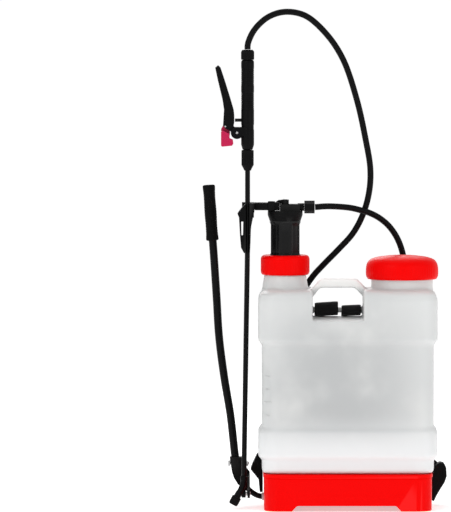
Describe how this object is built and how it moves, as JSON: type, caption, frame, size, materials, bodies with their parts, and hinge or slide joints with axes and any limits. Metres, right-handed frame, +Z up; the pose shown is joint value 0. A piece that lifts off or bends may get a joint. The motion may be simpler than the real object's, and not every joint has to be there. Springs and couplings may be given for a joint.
{
  "type": "backpack sprayer",
  "caption": "Knapsack sprayer: translucent tank on a red base, red screw lid, black side-lever pump, hose, spray lance with trigger, and shoulder straps.",
  "frame": {"origin": "on the floor, at the middle of the footprint of everything but the loose hose", "axes": "+Z up; +Y towards the wearer's back, where the shoulder straps are; +X from the pump and its lever towards the filler lid"},
  "size_m": [0.4924, 0.2195, 1.0027],
  "materials": {
    "tank_plastic": "translucent milky blow-moulded polyethylene",
    "red_plastic": "satin injection-moulded",
    "black_plastic": "fine moulded texture",
    "grey_plastic": "natural moulded",
    "lock_plastic": "satin moulded, crimson",
    "rubber": "soft, fine ribs",
    "hose_rubber": "smooth, slightly glossy",
    "black_metal": "black powder coat",
    "steel": "turned, zinc-bright",
    "brass": "turned",
    "webbing": "woven polypropylene webbing",
    "pad_cloth": "woven nylon over foam"
  },
  "bodies": {
    "frame": {"tank": "tank_plastic", "base": "red_plastic", "shaft_bush_left": "grey_plastic", "shaft_bush_right": "grey_plastic", "filler_strainer": "black_plastic", "pump_barrel": "grey_plastic", "foot_valve": "black_plastic", "pressure_chamber": "black_plastic", "neck_gasket": "rubber", "chamber_head": "black_plastic", "hose_nut": "black_plastic", "lance_bracket": "black_plastic", "lance_clip": "black_plastic", "handle_body": "black_plastic", "handle_top_nut": "black_plastic", "handle_lower_nut": "black_plastic", "lance_tube": "black_metal", "nozzle_elbow": "black_plastic", "nozzle_disc": "brass", "hose": "hose_rubber", "strap_loop_left": "webbing", "shoulder_pad_left": "pad_cloth", "lower_webbing_left": "webbing", "strap_buckle_left": "black_plastic", "strap_loop_right": "webbing", "shoulder_pad_right": "pad_cloth", "lower_webbing_right": "webbing", "strap_buckle_right": "black_plastic", "strap_hook_left": "black_plastic", "strap_hook_right": "black_plastic"},
    "lever": {"drive_shaft": "black_metal", "lever_socket": "black_plastic", "lever_tube": "black_metal", "lever_grip": "rubber", "lever_bolt": "steel", "lever_nut": "steel", "crank_arm": "black_metal", "crank_pin": "steel"},
    "link": {"link_rod": "black_metal", "link_lower_eye": "black_plastic", "link_upper_eye": "black_plastic"},
    "crosshead": {"crosshead": "black_plastic", "crosshead_pin": "steel", "piston_rod": "steel", "piston": "brass", "piston_seal": "rubber"},
    "foot_ball": {"foot_valve_ball": "steel"},
    "lid_ring": {"lid_gasket": "rubber"},
    "lid": {"lid": "red_plastic"},
    "ring_nut": {"ring_nut": "red_plastic"},
    "trigger": {"trigger": "black_plastic", "trigger_pin": "steel", "lock_pin": "steel"},
    "trigger_lock": {"trigger_lock": "lock_plastic"},
    "valve_pin": {"valve_pin": "black_plastic"},
    "nozzle_cap": {"nozzle_cap": "black_plastic"}
  },
  "joints": [
    {"name": "lever_swing", "type": "hinge", "parent": "frame", "child": "lever", "pos_m": [-0.1248, 0.038, 0.019], "axis": [-1, 0, 0], "range_deg": [0, 50]},
    {"name": "crosshead_slide", "type": "slide", "parent": "frame", "child": "crosshead", "axis": [0, 0, 1], "range_m": [0, 0.0382]},
    {"name": "link_swing", "type": "hinge", "parent": "lever", "child": "link", "pos_m": [-0.1633, -0.01616, 0.02855], "axis": [-1, 0, 0], "range_deg": [-53, 0]},
    {"name": "foot_ball_rise", "type": "slide", "parent": "frame", "child": "foot_ball", "axis": [0, 0, 1], "range_m": [0, 0.004]},
    {"name": "lid_lift", "type": "slide", "parent": "frame", "child": "lid_ring", "axis": [0, 0, 1], "range_m": [0, 0.1]},
    {"name": "lid_turn", "type": "hinge", "parent": "lid_ring", "child": "lid", "pos_m": [0.1542, -0.017, 0.48], "axis": [0, 0, 1], "range_deg": [0, 540]},
    {"name": "ring_nut_turn", "type": "hinge", "parent": "frame", "child": "ring_nut", "pos_m": [-0.0802, -0.017, 0.49], "axis": [0, 0, 1], "range_deg": [0, 540]},
    {"name": "trigger_squeeze", "type": "hinge", "parent": "frame", "child": "trigger", "pos_m": [-0.1768, -0.037, 0.755], "axis": [0, 1, 0], "range_deg": [0, 16], "stiffness_Nm_per_rad": 1.5, "springref_deg": -8.59},
    {"name": "lock_swing", "type": "hinge", "parent": "trigger", "child": "trigger_lock", "pos_m": [-0.2001, -0.037, 0.7675], "axis": [0, 1, 0], "range_deg": [0, 35]},
    {"name": "valve_pin_slide", "type": "slide", "parent": "frame", "child": "valve_pin", "axis": [1, 0, 0], "range_m": [0, 0.0072]},
    {"name": "nozzle_cap_turn", "type": "hinge", "parent": "frame", "child": "nozzle_cap", "pos_m": [-0.1768, -0.037, 0.024], "axis": [0.4695, 0, 0.8829], "continuous": true}
  ],
  "couplings": [
    {"joint": "crosshead_slide", "follows": "lever_swing", "m_per_rad": 0.04364},
    {"joint": "link_swing", "follows": "lever_swing", "ratio": -1.0546},
    {"joint": "valve_pin_slide", "follows": "trigger_squeeze", "m_per_rad": 0.025}
  ]
}
